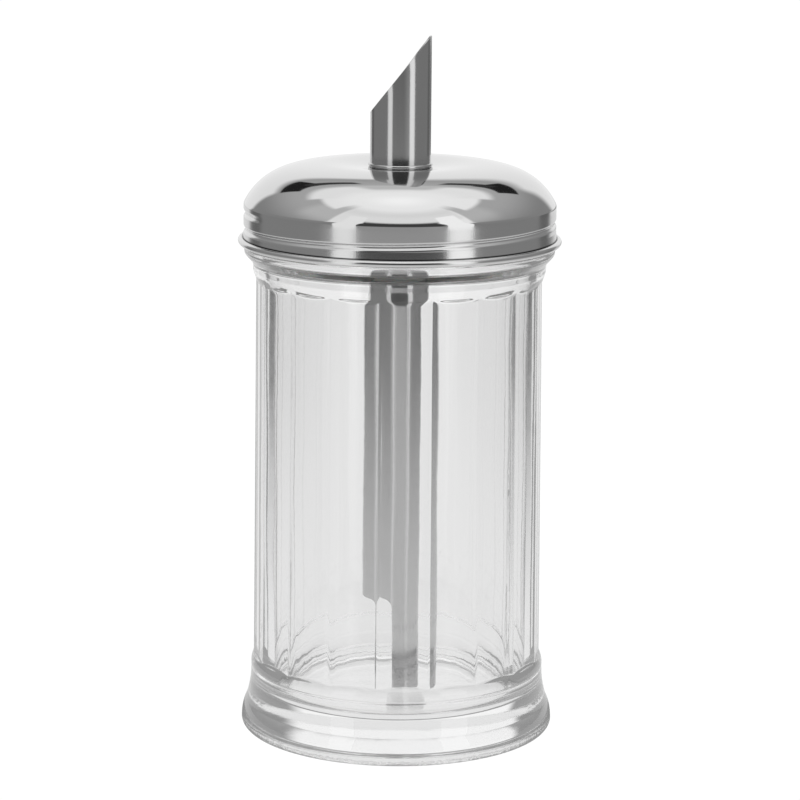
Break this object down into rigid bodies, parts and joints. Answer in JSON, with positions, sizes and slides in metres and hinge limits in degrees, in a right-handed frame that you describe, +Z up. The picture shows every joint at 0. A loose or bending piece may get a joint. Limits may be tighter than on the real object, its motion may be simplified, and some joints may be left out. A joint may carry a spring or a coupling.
{
  "type": "sugar dispenser",
  "caption": "Glass sugar dispenser: faceted jar with a flared foot, stainless screw lid and a slant-cut pour tube that reaches the floor of the jar.",
  "frame": {"origin": "centre of the jar's foot, on the plane it stands on", "axes": "+Z up along the jar's axis, +X towards the tip of the slanted spout"},
  "size_m": [0.08, 0.08, 0.1743],
  "materials": {
    "pressed_glass": "clear pressed soda-lime glass, fire polished",
    "stainless_sheet": "polished dome, finely turned skirt",
    "stainless_tube": "drawn tube, bright with faint length-wise lines",
    "soft_seal": "milky soft polyethylene"
  },
  "bodies": {
    "jar": {"glass_jar": "pressed_glass"},
    "gasket": {"lid_gasket": "soft_seal"},
    "lid": {"lid_shell": "stainless_sheet", "pour_tube": "stainless_tube", "tube_washer": "soft_seal", "tube_lock_ring": "stainless_tube"}
  },
  "joints": [
    {"name": "lid_lift", "type": "slide", "parent": "jar", "child": "gasket", "axis": [0, 0, 1], "range_m": [0, 0.005]},
    {"name": "lid_turn", "type": "hinge", "parent": "gasket", "child": "lid", "pos_m": [0, 0, 0.13], "axis": [0, 0, 1], "range_deg": [0, 450]}
  ],
  "couplings": [
    {"joint": "lid_lift", "follows": "lid_turn", "m_per_rad": 0.00063662}
  ]
}
